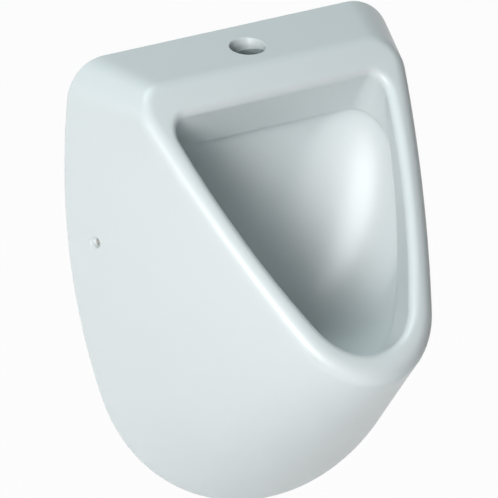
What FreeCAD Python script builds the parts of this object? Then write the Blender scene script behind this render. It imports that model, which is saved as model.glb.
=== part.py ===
import FreeCAD, Part
import math
import os

# Wall hung urinal in vitreous china, with its concealed fixings, its waste and its bottle trap.
# Millimetres. X is to the right, Y runs back into the wall, Z is up.
# While the pieces are made, the wall is the plane Y = 0 and the lowest point of the china is Z = 0.
# Every piece is then lowered, so that the origin is the centre of the wall fixings.

Vec = FreeCAD.Vector
UP = Vec(0, 0, 1)
BACKWARD = Vec(0, 1, 0)
SIDEWAYS = Vec(1, 0, 0)

# ---- china: outline against the wall, seen from the front
HEIGHT = 500.0
BACK_HALF_WIDTH = 187.0
BACK_CORNER_R = 46.5
BACK_SIDE_R = 724.0
BACK_BOTTOM_R = 189.0

# ---- china: inclined front rim
TOP_DEPTH = 67.0
TOP_FALL_DEG = 9.5
RIM_BOTTOM_REACH = 278.54
RIM_HALF_WIDTH = 154.0
RIM_CORNER_R = 33.5
RIM_SIDE_R = 1300.0
RIM_BOTTOM_R = 86.5
RIM_BOTTOM_Z = 184.0
RIM_ROUND_TOP = 20.0
RIM_ROUND_SIDE = 17.0

# ---- china: mouth of the bowl, and the crisp edge behind it
MOUTH_HALF_WIDTH = 129.0
MOUTH_CORNER_R = 24.5
MOUTH_SIDE_R = 760.0
MOUTH_BOTTOM_R = 69.5
MOUTH_TOP_BAND = 34.0
MOUTH_BOTTOM_Z = 203.0
LIP_ROUND = 9.0
EDGE_HALF_WIDTH = 134.5
EDGE_CORNER_R = 29.0
EDGE_SIDE_R = 700.0
EDGE_BOTTOM_R = 73.0
EDGE_TOP_Y = -50.0
EDGE_TOP_DROP = 98.5
EDGE_BOTTOM_Y = -214.0
EDGE_BOTTOM_Z = 189.0
EDGE_BACKING = 6.0

# ---- china: bowl, walls and hollows
WALL = 12.0
BOWL_WALL = 10.0
RIM_SOLID_DEPTH = 30.0
CHANNEL_FRONT_DEPTH = 24.0
SUMP_Y = -58.0
SUMP_Z = 174.0
SUMP_R = 34.0
SUMP_FLOOR = 14.0
WASTE_HOLE_R = 22.5
CHANNEL_FLOOR = 11.0
FLUSH_HOLE_R = 3.0
FLUSH_HOLE_COUNT = 9
FLUSH_HOLE_SPAN = 190.0
FLUSH_HOLE_Y = -41.0

# ---- flush inlet in the top
INLET_Y = -45.7
INLET_R = 18.4
INLET_SEAL_BORE_R = 16.0
INLET_SEAL_SKIN = 1.5
INLET_SEAL_SUNK = 11.35
INLET_SEAL_LENGTH = 16.0
INLET_SEAL_RIB = 4.0
INLET_SEAL_RIB_PITCH = 5.0
INLET_SEAL_RIB_COUNT = 3
INLET_CUT_DEPTH = 40.0

# ---- concealed fixings
FIXING_DROP = 180.0
SIDE_HOLE_Y = -31.7
SIDE_HOLE_R = 5.5
STUD_SET_IN = 17.0
STUD_SPACING_Z = 40.0
STUD_R = 4.0
STUD_IN_WALL = 55.0
STUD_TAIL = 15.0
STUD_TAIL_R = 3.6
STUD_NECK = 2.0
STUD_NECK_R = 3.2
BRACKET_SET_IN = 24.0
BRACKET_WIDTH = 31.0
BRACKET_REACH = 42.0
BRACKET_HEIGHT = 72.0
BRACKET_PLATE = 3.0
BRACKET_STEP = 12.0
BRACKET_GUSSET = 12.0
BRACKET_HOLE_CLEARANCE = 1.3
WASHER_R = 8.5
WASHER_THICK = 1.6
WASHER_CLEARANCE = 0.2
NUT_FLATS = 13.0
NUT_THICK = 6.5
SIDE_SCREW_R = 3.0
SIDE_SCREW_HEAD_R = 4.6
SIDE_SCREW_HEAD = 3.0
SIDE_SCREW_SUNK = 2.6
BUSH_CLEARANCE = 0.1
BUSH_COLLAR_R = 8.5
BUSH_COLLAR = 5.0
INSERT_FLATS = 11.0
INSERT_LENGTH = 6.0
SIDE_SCREW_TAIL = 3.0
SIDE_SCREW_SOCKET = 4.0

# ---- waste
GASKET = 2.0
FLANGE_R = 33.0
FLANGE_THICK = 3.5
TAIL_R = 20.0
TAIL_BORE_R = 17.0
TAIL_END_Z = 133.0
BACKNUT_THICK = 8.0
BACKNUT_R = 31.0
STRAINER_R = 27.6
STRAINER_THICK = 1.8
STRAINER_RISE = 5.0
STRAINER_HOLE_R = 2.1
STRAINER_HOLE_PITCH = 6.6
STRAINER_RING_COUNT = 3
STRAINER_SEAT_CLEARANCE = 0.4

# ---- bottle trap
NUT_FACE_Z = 148.0
UNION_NUT_HEIGHT = 14.0
UNION_NUT_R = 29.0
NECK_R = 24.5
NECK_BORE_R = 20.3
BOTTLE_R = 27.0
BOTTLE_WALL = 3.0
BOTTLE_TOP_Z = 133.0
BOTTLE_END_Z = 88.0
CUP_BASE_Z = 68.0
CUP_SKIRT_R = 29.8
CUP_SKIRT_GAP = 1.0
DIP_TUBE_R = 16.8
DIP_TUBE_BORE_R = 14.8
DIP_TUBE_END_Z = 80.0
OUTLET_Z = 114.0
OUTLET_R = 16.0
OUTLET_WALL = 1.8
OUTLET_BEHIND_WALL = 60.0
OUTLET_STOP_R = 17.6
OUTLET_STOP = 2.0
COLLAR_FLANGE = 4.0
COLLAR_SLEEVE = 14.0
THREAD_CLEARANCE = 0.2
SPIGOT_END_Y = -21.0
SPIGOT_R = 18.4

# ---- how far cutters run past what they cut
OVERRUN = 20.0

# ---- how finely the outlines of the china are sampled
TOP_STEPS = 3
CORNER_STEPS = 4
SIDE_STEPS = 5
BOTTOM_STEPS = 5
BOWL_STEPS = 6

# ---- places that follow from the sizes above
EDGE_TOP_Z = HEIGHT - EDGE_TOP_DROP
EDGE_MIDDLE_Z = (EDGE_TOP_Z + EDGE_BOTTOM_Z) / 2
FIXING_Z = HEIGHT - FIXING_DROP
BRACKET_OUTER_X = BACK_HALF_WIDTH - BRACKET_SET_IN
BRACKET_INNER_X = BRACKET_OUTER_X - BRACKET_WIDTH
STUD_HALF_SPAN = BRACKET_OUTER_X - STUD_SET_IN
RIM_TILT = math.atan((RIM_BOTTOM_REACH - TOP_DEPTH) / (HEIGHT - RIM_BOTTOM_Z))
RIM_NORMAL = Vec(0, -math.cos(RIM_TILT), math.sin(RIM_TILT))
RIM_UP = Vec(0, math.sin(RIM_TILT), math.cos(RIM_TILT))
TOP_FALL = math.tan(math.radians(TOP_FALL_DEG))
RIM_TOP_Z = HEIGHT - TOP_DEPTH * TOP_FALL
CUP_SKIRT_TOP_Z = OUTLET_Z - SPIGOT_R - CUP_SKIRT_GAP
INLET_SEAL_TOP_Z = HEIGHT + INLET_Y * TOP_FALL - INLET_SEAL_SUNK


def outline(half_width, corner_r, side_r, bottom_r, top, bottom, inset=0.0):
    """Closed outline made of tangent arcs: rows of (x, z, normal x, normal z), clockwise."""
    half_width, top, bottom = half_width - inset, top - inset, bottom + inset
    corner_r, side_r, bottom_r = corner_r - inset, side_r - inset, bottom_r - inset
    corner = (half_width - corner_r, top - corner_r)
    base = (0.0, bottom + bottom_r)
    span = math.hypot(corner[0] - base[0], corner[1] - base[1])
    to_corner, to_base = side_r - corner_r, side_r - bottom_r
    along = (to_base ** 2 - to_corner ** 2 + span ** 2) / (2 * span)
    across = math.sqrt(to_base ** 2 - along ** 2)
    unit = ((corner[0] - base[0]) / span, (corner[1] - base[1]) / span)
    side = (base[0] + along * unit[0] - across * unit[1],
            base[1] + along * unit[1] + across * unit[0])
    upper = math.atan2(corner[1] - side[1], corner[0] - side[0])
    lower = math.atan2(base[1] - side[1], base[0] - side[0])
    rows = [(corner[0] * math.sin(math.pi / 2 * i / TOP_STEPS), top, 0.0, 1.0) for i in range(TOP_STEPS)]
    rows += arc_rows(corner, corner_r, math.pi / 2, upper, CORNER_STEPS)
    rows += arc_rows(side, side_r, upper, lower, SIDE_STEPS)
    rows += arc_rows(base, bottom_r, lower, -math.pi / 2, BOTTOM_STEPS)
    rows.append((0.0, bottom, 0.0, -1.0))
    mirrored = [(-x, z, -nx, nz) for x, z, nx, nz in reversed(rows[1:-1])]
    return rows + mirrored


def arc_rows(centre, radius, start, end, steps):
    rows = []
    for i in range(steps):
        angle = start + (end - start) * i / steps
        nx, nz = math.cos(angle), math.sin(angle)
        rows.append((centre[0] + radius * nx, centre[1] + radius * nz, nx, nz))
    return rows


def ring_parameters():
    """Shares of the way round the back outline, used for every ring so that lofts run true."""
    points = [Vec(x, 0, z) for x, z, _, _ in back_rows()]
    lengths = [0.0]
    for start, end in zip(points, points[1:] + points[:1]):
        lengths.append(lengths[-1] + (end - start).Length)
    return [length / lengths[-1] for length in lengths]


def smooth_wire(points):
    curve = Part.BSplineCurve()
    curve.interpolate(Points=points, Parameters=ring_parameters(), PeriodicFlag=True)
    return Part.Wire([curve.toShape()])


def loft(rings, ruled=False):
    return Part.makeLoft([smooth_wire(ring) for ring in rings], True, ruled)


def joined_lofts(stretches):
    """One solid from lofts laid end to end; each stretch is (rings, ruled) and shares its end ring."""
    faces = []
    wire = smooth_wire(stretches[0][0][0])
    faces.append(Part.Face(wire))
    for rings, ruled in stretches:
        wires = [wire] + [smooth_wire(ring) for ring in rings[1:]]
        faces += Part.makeLoft(wires, False, ruled).Faces
        wire = wires[-1]
    faces.append(Part.Face(wire))
    shell = Part.makeShell(faces)
    shell.sewShape()
    solid = Part.makeSolid(shell)
    if solid.Volume < 0:
        solid.reverse()
    return solid


def circle_ring(radius, y, z, angles):
    return [Vec(radius * math.sin(a), y + radius * math.cos(a), z) for a in angles]


# ---- the inclined rim plane

def on_rim(x, z):
    return Vec(x, -(TOP_DEPTH + (HEIGHT - z) * math.tan(RIM_TILT)), z)


def rim_rows(inset=0.0):
    return outline(RIM_HALF_WIDTH, RIM_CORNER_R, RIM_SIDE_R, RIM_BOTTOM_R,
                   RIM_TOP_Z, RIM_BOTTOM_Z, inset)


def mouth_rows(inset=0.0):
    return outline(MOUTH_HALF_WIDTH, MOUTH_CORNER_R, MOUTH_SIDE_R, MOUTH_BOTTOM_R,
                   RIM_TOP_Z - MOUTH_TOP_BAND, MOUTH_BOTTOM_Z, inset)


def back_rows(inset=0.0):
    return outline(BACK_HALF_WIDTH, BACK_CORNER_R, BACK_SIDE_R, BACK_BOTTOM_R,
                   HEIGHT, 0.0, inset)


def rim_outward(row):
    direction = SIDEWAYS * row[2] + RIM_UP * row[3]
    return direction.normalize()


def rim_round(row):
    """The rim's outer edge is rounder along the top than along the sides."""
    top_share = max(row[3], 0.0)
    return RIM_ROUND_SIDE + (RIM_ROUND_TOP - RIM_ROUND_SIDE) * top_share


def rim_edge(row, back_point, share):
    """A point on the rim's rounded outer edge; share 0 is tangent to the flank, 1 is on the rim."""
    radius, outward = rim_round(row), rim_outward(row)
    centre = on_rim(row[0], row[1]) - outward * radius - RIM_NORMAL * radius
    start = 0.0
    for _ in range(4):
        point = centre + outward * (radius * math.cos(start)) + RIM_NORMAL * (radius * math.sin(start))
        flank = point - back_point
        start = max(0.0, math.atan2(-flank.dot(outward), flank.dot(RIM_NORMAL)))
    angle = start + (math.pi / 2 - start) * share
    return centre + outward * (radius * math.cos(angle)) + RIM_NORMAL * (radius * math.sin(angle))


def outer_rings():
    """Outline on the wall, then the rings of the rounded edge that ends on the rim."""
    back = [Vec(x, 0, z) for x, z, _, _ in back_rows()]
    rings = [back]
    for share in (0.0, 0.33, 0.67, 1.0):
        rings.append([rim_edge(row, point, share) for row, point in zip(rim_rows(), back)])
    return rings


def outer_skin():
    """Solid outside shape: a straight flank, then the rounded edge of the rim."""
    rings = outer_rings()
    return joined_lofts([(rings[:2], True), (rings[1:], False)])


def hollow(front_depth, back_y):
    """The space inside the outer skin, from back_y to a plane behind the rim."""
    back = [Vec(x, 0, z) for x, z, _, _ in back_rows(WALL)]
    front = [on_rim(x, z) - RIM_NORMAL * front_depth for x, z, _, _ in rim_rows(WALL)]
    start = [b + (b - f) * (back_y / (b.y - f.y)) for b, f in zip(back, front)]
    return loft([start, front], ruled=True)


def lip_ring(angle_deg, wall=0.0):
    """Ring on the lip's rounding: 90 is on the rim plane, 0 faces into the mouth."""
    angle = math.radians(angle_deg)
    ring = []
    for row in mouth_rows():
        outward = rim_outward(row)
        centre = on_rim(row[0], row[1]) - RIM_NORMAL * LIP_ROUND
        point = centre + RIM_NORMAL * (LIP_ROUND * math.sin(angle)) - outward * (LIP_ROUND * math.cos(angle))
        ring.append(point + outward * wall)
    return ring


def on_edge_plane(x, z):
    share = (EDGE_TOP_Z - z) / (EDGE_TOP_Z - EDGE_BOTTOM_Z)
    return Vec(x, EDGE_TOP_Y + (EDGE_BOTTOM_Y - EDGE_TOP_Y) * share, z)


EDGE_UP = (on_edge_plane(0, 1) - on_edge_plane(0, 0)).normalize()
EDGE_BACK = SIDEWAYS.cross(EDGE_UP) * -1


def edge_rows(inset=0.0):
    return outline(EDGE_HALF_WIDTH, EDGE_CORNER_R, EDGE_SIDE_R, EDGE_BOTTOM_R,
                   EDGE_TOP_Z, EDGE_BOTTOM_Z, inset)


def blend(start, end, share):
    share = min(max(share, 0.0), 1.0)
    return start + (end - start) * share * share * (3 - 2 * share)


def bowl_curve(row):
    """Four control points that carry one column of the bowl from the crisp edge to the sump."""
    x, z, nx, nz = row
    start = on_edge_plane(x, z)
    outward = (SIDEWAYS * nx + EDGE_UP * nz).normalize()
    height = (z - EDGE_BOTTOM_Z) / (EDGE_TOP_Z - EDGE_BOTTOM_Z)
    spread = 0.8 * abs(nx) + 0.55 * max(nz, 0.0) + 0.05 * max(-nz, 0.0)
    leave = (outward * spread + EDGE_BACK * (1 - 0.4 * spread)).normalize()
    angle = math.atan2(x, z - EDGE_MIDDLE_Z)
    radial = Vec(math.sin(angle), math.cos(angle), 0)
    end = Vec(0, SUMP_Y, SUMP_Z) + radial * SUMP_R
    front_share = (1 - math.cos(angle)) / 2
    sideways = blend(0.1, 1.0, front_share * 1.6)
    rise = blend(1.0, 0.12, front_share * 1.15)
    reach = blend(70.0, 62.0, front_share)
    arrive = radial * (reach * sideways) + UP * (reach * rise)
    return start, start + leave * (28.0 + 20.0 * height), end + arrive, end


def bowl_point(row, share):
    a, b, c, d = bowl_curve(row)
    rest = 1 - share
    return a * rest ** 3 + b * (3 * rest * rest * share) + c * (3 * rest * share * share) + d * share ** 3


def bowl_rings():
    rows = edge_rows()
    return [[bowl_point(row, step / BOWL_STEPS) for row in rows] for step in range(BOWL_STEPS + 1)]


def bowl_outside_rings():
    """The bowl's hidden face: each point of the inside moved out by the wall's thickness."""
    rows = edge_rows()
    count = len(rows)
    first = [on_edge_plane(x, z) - EDGE_BACK * EDGE_BACKING for x, z, _, _ in edge_rows(4 - BOWL_WALL)]
    rings = [first]
    for step in range(1, BOWL_STEPS):
        share = step / BOWL_STEPS
        ring = [bowl_point(row, share) for row in rows]
        later = [bowl_point(row, share + 0.01) for row in rows]
        moved = []
        for i, point in enumerate(ring):
            around = ring[(i + 1) % count] - ring[i - 1]
            normal = around.cross(later[i] - point).normalize()
            moved.append(point + normal * BOWL_WALL)
        rings.append(moved)
    return rings


def outward_sign(rings):
    """Rings run clockwise or not; compare one widened ring with the plain one."""
    plain = bowl_rings()[BOWL_STEPS // 2]
    widened = rings[BOWL_STEPS // 2]
    grown = max(p.x for p in widened) - max(p.x for p in plain)
    return grown > 0


def sump_angles():
    return [math.atan2(x, z - EDGE_MIDDLE_Z) for x, z, _, _ in edge_rows()]


def cylinder(radius, base, direction, length):
    return Part.makeCylinder(radius, length, base, direction)


def tube(outer_r, inner_r, base, direction, length):
    outer = cylinder(outer_r, base, direction, length)
    inner = cylinder(inner_r, base, direction, length)
    return outer.cut(inner)


def box(low, high):
    size = Vec(*high) - Vec(*low)
    return Part.makeBox(size.x, size.y, size.z, Vec(*low))


def turned(profile, y):
    """Revolve (radius, z) corners about the vertical axis through (0, y)."""
    corners = [Vec(r, y, z) for r, z in profile]
    face = Part.Face(Part.makePolygon(corners + corners[:1]))
    return face.revolve(Vec(0, y, 0), UP, 360)


def hexagon(flats, base, direction, length):
    side = flats / math.sqrt(3)
    ring = [Vec(side * math.cos(math.radians(60 * i)), side * math.sin(math.radians(60 * i)), 0)
            for i in range(6)]
    prism = Part.Face(Part.makePolygon(ring + ring[:1])).extrude(UP * length)
    prism.Placement = FreeCAD.Placement(base, FreeCAD.Rotation(UP, direction))
    return prism


# ---- the china

def bowl_outside():
    rings = bowl_outside_rings()
    if not outward_sign(rings):
        plain = bowl_rings()
        for step in range(1, BOWL_STEPS):
            rings[step] = [p * 2 - q for p, q in zip(plain[step], rings[step])]
    rings.append(circle_ring(SUMP_R + BOWL_WALL, SUMP_Y, SUMP_Z - SUMP_FLOOR, sump_angles()))
    return loft(rings)


def reveal_outside():
    behind = [on_edge_plane(x, z) for x, z, _, _ in edge_rows(3 - BOWL_WALL)]
    return loft([lip_ring(0, BOWL_WALL), behind], ruled=True)


def bowl_inside():
    """All the air of the bowl: in at the mouth, over the lip, along the apron and down to the sump."""
    lip = [lip_ring(angle) for angle in (90, 60, 30, 0)]
    before = [point + RIM_NORMAL * 8 for point in lip[0]]
    bowl = bowl_rings()
    return joined_lofts([([before, lip[0]], True), (lip, False), ([lip[-1], bowl[0]], True),
                         (bowl, False)])


def make_ceramic():
    body = outer_skin()
    lining = bowl_outside().fuse(reveal_outside())
    floor_z = EDGE_TOP_Z + CHANNEL_FLOOR
    wide = BACK_HALF_WIDTH * 2
    deep = RIM_BOTTOM_REACH * 2

    service = hollow(RIM_SOLID_DEPTH, OVERRUN / 4)
    service = service.common(box((-wide, -deep, -OVERRUN), (wide, OVERRUN, EDGE_TOP_Z - 1)))
    service = service.cut(lining)

    channel = hollow(CHANNEL_FRONT_DEPTH, -WALL)
    channel = channel.common(box((-wide, -deep, floor_z), (wide, OVERRUN, HEIGHT)))
    channel = channel.cut(reveal_outside())

    body = body.cut(service)
    body = body.cut(channel)
    body = body.cut(bowl_inside())

    sump = Vec(0, SUMP_Y, SUMP_Z)
    under_sump = sump - UP * (SUMP_FLOOR + OVERRUN)
    body = body.cut(cylinder(WASTE_HOLE_R, under_sump, UP, SUMP_FLOOR + OVERRUN * 1.5))
    in_channel = Vec(0, INLET_Y, HEIGHT - INLET_CUT_DEPTH)
    body = body.cut(cylinder(INLET_R, in_channel, UP, INLET_CUT_DEPTH + OVERRUN))
    for i in range(FLUSH_HOLE_COUNT):
        x = FLUSH_HOLE_SPAN * (i / (FLUSH_HOLE_COUNT - 1) - 0.5)
        under_edge = Vec(x, FLUSH_HOLE_Y, EDGE_TOP_Z - OVERRUN)
        body = body.cut(cylinder(FLUSH_HOLE_R, under_edge, UP, CHANNEL_FLOOR + OVERRUN * 2))
    for side in (-1, 1):
        start = Vec(side * BRACKET_OUTER_X, SIDE_HOLE_Y, FIXING_Z)
        body = body.cut(cylinder(SIDE_HOLE_R, start, SIDEWAYS * side, BRACKET_SET_IN + OVERRUN * 2))
    return largest(body)


def largest(shape):
    return max(shape.Solids, key=lambda solid: solid.Volume)


# ---- flush inlet

def make_inlet_seal():
    base_z = INLET_SEAL_TOP_Z - INLET_SEAL_LENGTH
    skin_r = INLET_SEAL_BORE_R + INLET_SEAL_SKIN
    base = Vec(0, INLET_Y, base_z)
    seal = tube(skin_r, INLET_SEAL_BORE_R, base, UP, INLET_SEAL_LENGTH)
    for i in range(INLET_SEAL_RIB_COUNT):
        low = base_z + 1 + INLET_SEAL_RIB_PITCH * i
        high = low + INLET_SEAL_RIB
        rib = [(skin_r, low), (INLET_R, low + 1), (INLET_R, high - 1), (skin_r, high)]
        seal = seal.fuse(turned(rib, INLET_Y))
    return seal.removeSplitter()


# ---- concealed fixings

def stud_places():
    return [(side * STUD_HALF_SPAN, FIXING_Z + half * STUD_SPACING_Z / 2)
            for side in (-1, 1) for half in (-1, 1)]


def make_bracket(side):
    low_z, high_z = FIXING_Z - BRACKET_HEIGHT / 2, FIXING_Z + BRACKET_HEIGHT / 2
    xs = sorted((side * BRACKET_INNER_X, side * BRACKET_OUTER_X))
    leg_xs = sorted((side * (BRACKET_OUTER_X - BRACKET_PLATE), side * BRACKET_OUTER_X))
    wall_leg = box((xs[0], -BRACKET_PLATE, low_z), (xs[1], 0, high_z))
    side_leg = box((leg_xs[0], -BRACKET_REACH, low_z + BRACKET_STEP), (leg_xs[1], 0, high_z - BRACKET_STEP))
    rib_x = side * (BRACKET_OUTER_X - BRACKET_PLATE)
    rib = [Vec(rib_x, -BRACKET_PLATE, 0), Vec(rib_x - side * BRACKET_GUSSET, -BRACKET_PLATE, 0),
           Vec(rib_x, -BRACKET_PLATE - BRACKET_GUSSET, 0)]
    gusset = Part.Face(Part.makePolygon(rib + rib[:1])).extrude(UP * BRACKET_PLATE)
    bracket = wall_leg.fuse(side_leg)
    bracket = bracket.fuse(gusset.translated(Vec(0, 0, FIXING_Z - BRACKET_PLATE / 2)))
    for x, z in stud_places():
        if x * side > 0:
            start = Vec(x, -OVERRUN, z)
            bracket = bracket.cut(cylinder(STUD_R + BRACKET_HOLE_CLEARANCE, start, BACKWARD, OVERRUN * 2))
    middle = Vec(0, SIDE_HOLE_Y, FIXING_Z)
    hole = cylinder(SIDE_SCREW_R + 0.3, middle, SIDEWAYS * side, BACK_HALF_WIDTH)
    return bracket.cut(hole).removeSplitter()


def make_wall_studs():
    """Each stud has a shank in the wall, a run-out neck and a tail at its thread's pitch diameter."""
    studs = []
    for x, z in stud_places():
        tail = cylinder(STUD_TAIL_R, Vec(x, -STUD_TAIL, z), BACKWARD, STUD_TAIL - STUD_NECK)
        neck = cylinder(STUD_NECK_R, Vec(x, -STUD_NECK, z), BACKWARD, STUD_NECK)
        shank = cylinder(STUD_R, Vec(x, 0, z), BACKWARD, STUD_IN_WALL)
        studs.append(tail.fuse([neck, shank]))
    return studs


def make_stud_washers():
    face = -BRACKET_PLATE - WASHER_THICK
    return [tube(WASHER_R, STUD_R + WASHER_CLEARANCE, Vec(x, face, z), BACKWARD, WASHER_THICK)
            for x, z in stud_places()]


def make_stud_nuts():
    face = -BRACKET_PLATE - WASHER_THICK - NUT_THICK
    nuts = []
    for x, z in stud_places():
        base = Vec(x, face, z)
        bore = cylinder(STUD_TAIL_R, base, BACKWARD, NUT_THICK)
        nuts.append(hexagon(NUT_FLATS, base, BACKWARD, NUT_THICK).cut(bore))
    return nuts


def flank_x():
    """Where the outer face of the china lies at the side hole."""
    rows = zip(*outer_rings()[:2])
    nearest = None
    for b, t in rows:
        share = (SIDE_HOLE_Y - b.y) / (t.y - b.y)
        point = b + (t - b) * share
        if point.x > 0 and (nearest is None or abs(point.z - FIXING_Z) < abs(nearest.z - FIXING_Z)):
            nearest = point
    return nearest.x


def make_side_bushes(face_x):
    bushes = []
    for side in (-1, 1):
        collar_base = Vec(side * BRACKET_OUTER_X, SIDE_HOLE_Y, FIXING_Z)
        length = face_x - SIDE_SCREW_SUNK - BRACKET_OUTER_X
        out = SIDEWAYS * side
        bush = cylinder(SIDE_HOLE_R - BUSH_CLEARANCE, collar_base, out, length)
        bush = bush.fuse(cylinder(BUSH_COLLAR_R, collar_base, out, BUSH_COLLAR))
        bush = bush.cut(cylinder(SIDE_SCREW_R + 0.2, collar_base, out, length))
        seat = collar_base + out * (length - SIDE_SCREW_HEAD)
        bush = bush.cut(cylinder(SIDE_SCREW_HEAD_R + 0.1, seat, out, SIDE_SCREW_HEAD))
        bushes.append(bush.removeSplitter())
    return bushes


def make_side_screws(face_x):
    screws = []
    for side in (-1, 1):
        head_base = Vec(side * (face_x - SIDE_SCREW_SUNK - SIDE_SCREW_HEAD), SIDE_HOLE_Y, FIXING_Z)
        out = SIDEWAYS * side
        length = head_base.x * side - BRACKET_OUTER_X + BRACKET_PLATE + INSERT_LENGTH + SIDE_SCREW_TAIL
        screw = cylinder(SIDE_SCREW_R, head_base, out * -1, length)
        head = cylinder(SIDE_SCREW_HEAD_R, head_base, out, SIDE_SCREW_HEAD)
        socket = hexagon(SIDE_SCREW_SOCKET, head_base + out * 0.8, out, SIDE_SCREW_HEAD)
        screws.append(screw.fuse(head).cut(socket).removeSplitter())
    return screws


def make_bracket_inserts():
    inserts = []
    for side in (-1, 1):
        inner_face = side * (BRACKET_OUTER_X - BRACKET_PLATE)
        base = Vec(inner_face, SIDE_HOLE_Y, FIXING_Z)
        inward = SIDEWAYS * -side
        bore = cylinder(SIDE_SCREW_R, base, inward, INSERT_LENGTH)
        inserts.append(hexagon(INSERT_FLATS, base, inward, INSERT_LENGTH).cut(bore))
    return inserts


# ---- waste

def make_upper_gasket():
    return tube(FLANGE_R, TAIL_R + 0.3, Vec(0, SUMP_Y, SUMP_Z), UP, GASKET)


def make_waste_flange():
    seat_z = SUMP_Z + GASKET
    top_z = seat_z + FLANGE_THICK
    seat_r = STRAINER_R + STRAINER_SEAT_CLEARANCE
    profile = [(TAIL_BORE_R, TAIL_END_Z), (TAIL_R, TAIL_END_Z), (TAIL_R, seat_z),
               (FLANGE_R, seat_z), (FLANGE_R, top_z - 1.2), (FLANGE_R - 1.2, top_z),
               (seat_r, top_z), (seat_r, top_z - STRAINER_THICK), (TAIL_BORE_R, top_z - STRAINER_THICK)]
    return turned(profile, SUMP_Y)


def make_strainer():
    base_z = SUMP_Z + GASKET + FLANGE_THICK - STRAINER_THICK
    rise = STRAINER_RISE
    dome_r = (STRAINER_R ** 2 + rise ** 2) / (2 * rise)
    upper = []
    lower = []
    for i in range(7):
        r = STRAINER_R * i / 6
        lift = math.sqrt(dome_r ** 2 - r ** 2) - (dome_r - rise)
        upper.append((r, base_z + STRAINER_THICK + lift))
        lower.append((min(r, STRAINER_R - 3), base_z + lift * (0 if i == 6 else 1)))
    profile = lower[:-1] + [(STRAINER_R - 3, base_z), (STRAINER_R, base_z)] + upper[::-1]
    dome = turned(profile, SUMP_Y)
    for ring in range(STRAINER_RING_COUNT + 1):
        ring_r = STRAINER_HOLE_PITCH * ring
        count = max(1, 6 * ring)
        for i in range(count):
            angle = 2 * math.pi * i / count
            place = Vec(ring_r * math.sin(angle), SUMP_Y + ring_r * math.cos(angle), base_z - 1)
            dome = dome.cut(cylinder(STRAINER_HOLE_R, place, UP, rise + 6))
    return dome


def make_lower_gasket():
    base = Vec(0, SUMP_Y, SUMP_Z - SUMP_FLOOR - GASKET)
    return tube(BACKNUT_R, TAIL_R + 0.3, base, UP, GASKET)


def make_backnut():
    base = Vec(0, SUMP_Y, SUMP_Z - SUMP_FLOOR - GASKET - BACKNUT_THICK)
    nut = cylinder(BACKNUT_R - 2, base, UP, BACKNUT_THICK)
    for i in range(8):
        wing = box((-4, -BACKNUT_R, 0), (4, BACKNUT_R, BACKNUT_THICK))
        wing.Placement = FreeCAD.Placement(base, FreeCAD.Rotation(UP, 22.5 * i))
        nut = nut.fuse(wing)
    nut = nut.common(cylinder(BACKNUT_R, base, UP, BACKNUT_THICK))
    return nut.cut(cylinder(TAIL_R, base, UP, BACKNUT_THICK)).removeSplitter()


# ---- bottle trap

def ribbed_nut(outer_r, base, direction, height, ribs):
    nut = cylinder(outer_r - 1.2, base, direction, height)
    turn = FreeCAD.Rotation(UP, direction)
    for i in range(ribs):
        rib = box((-1.5, 0, 0), (1.5, outer_r, height))
        spin = FreeCAD.Rotation(UP, 360.0 * i / ribs)
        rib.Placement = FreeCAD.Placement(base, turn.multiply(spin))
        nut = nut.fuse(rib)
    return nut


def make_union_nut():
    base = Vec(0, SUMP_Y, NUT_FACE_Z - UNION_NUT_HEIGHT)
    nut = ribbed_nut(UNION_NUT_R, base, UP, UNION_NUT_HEIGHT, 16)
    nut = nut.cut(cylinder(NECK_R, base, UP, UNION_NUT_HEIGHT - 2))
    return nut.cut(cylinder(TAIL_R, base, UP, UNION_NUT_HEIGHT + 1)).removeSplitter()


def make_union_seal():
    base = Vec(0, SUMP_Y, NUT_FACE_Z - 2 - GASKET)
    return tube(NECK_R, TAIL_R, base, UP, GASKET)


def make_trap_body():
    neck_top = NUT_FACE_Z - 2 - GASKET
    ledge_r = DIP_TUBE_R + THREAD_CLEARANCE
    profile = [(ledge_r, BOTTLE_TOP_Z - 4), (BOTTLE_R - BOTTLE_WALL, BOTTLE_TOP_Z - 4),
               (BOTTLE_R - BOTTLE_WALL, BOTTLE_END_Z), (BOTTLE_R, BOTTLE_END_Z),
               (BOTTLE_R, BOTTLE_TOP_Z - 3), (BOTTLE_R - 2.5, BOTTLE_TOP_Z), (NECK_R, BOTTLE_TOP_Z),
               (NECK_R, neck_top), (NECK_BORE_R, neck_top), (NECK_BORE_R, BOTTLE_TOP_Z - 1),
               (ledge_r, BOTTLE_TOP_Z - 1)]
    bottle = turned(profile, SUMP_Y)
    start = Vec(0, SUMP_Y, OUTLET_Z)
    spigot = cylinder(SPIGOT_R, start, BACKWARD, SPIGOT_END_Y - SUMP_Y)
    inside = turned([(0, BOTTLE_END_Z - 5), (BOTTLE_R - 1, BOTTLE_END_Z - 5),
                     (BOTTLE_R - 1, BOTTLE_TOP_Z + OVERRUN), (0, BOTTLE_TOP_Z + OVERRUN)], SUMP_Y)
    bottle = bottle.fuse(spigot.cut(inside))
    return bottle.cut(cylinder(OUTLET_R, start, BACKWARD, SPIGOT_END_Y - SUMP_Y)).removeSplitter()


def make_dip_tube():
    collar_top = TAIL_END_Z
    collar_base = BOTTLE_TOP_Z - 1
    profile = [(DIP_TUBE_BORE_R, DIP_TUBE_END_Z), (DIP_TUBE_R, DIP_TUBE_END_Z),
               (DIP_TUBE_R, collar_base), (TAIL_R, collar_base), (TAIL_R, collar_top),
               (DIP_TUBE_BORE_R, collar_top)]
    return turned(profile, SUMP_Y)


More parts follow.
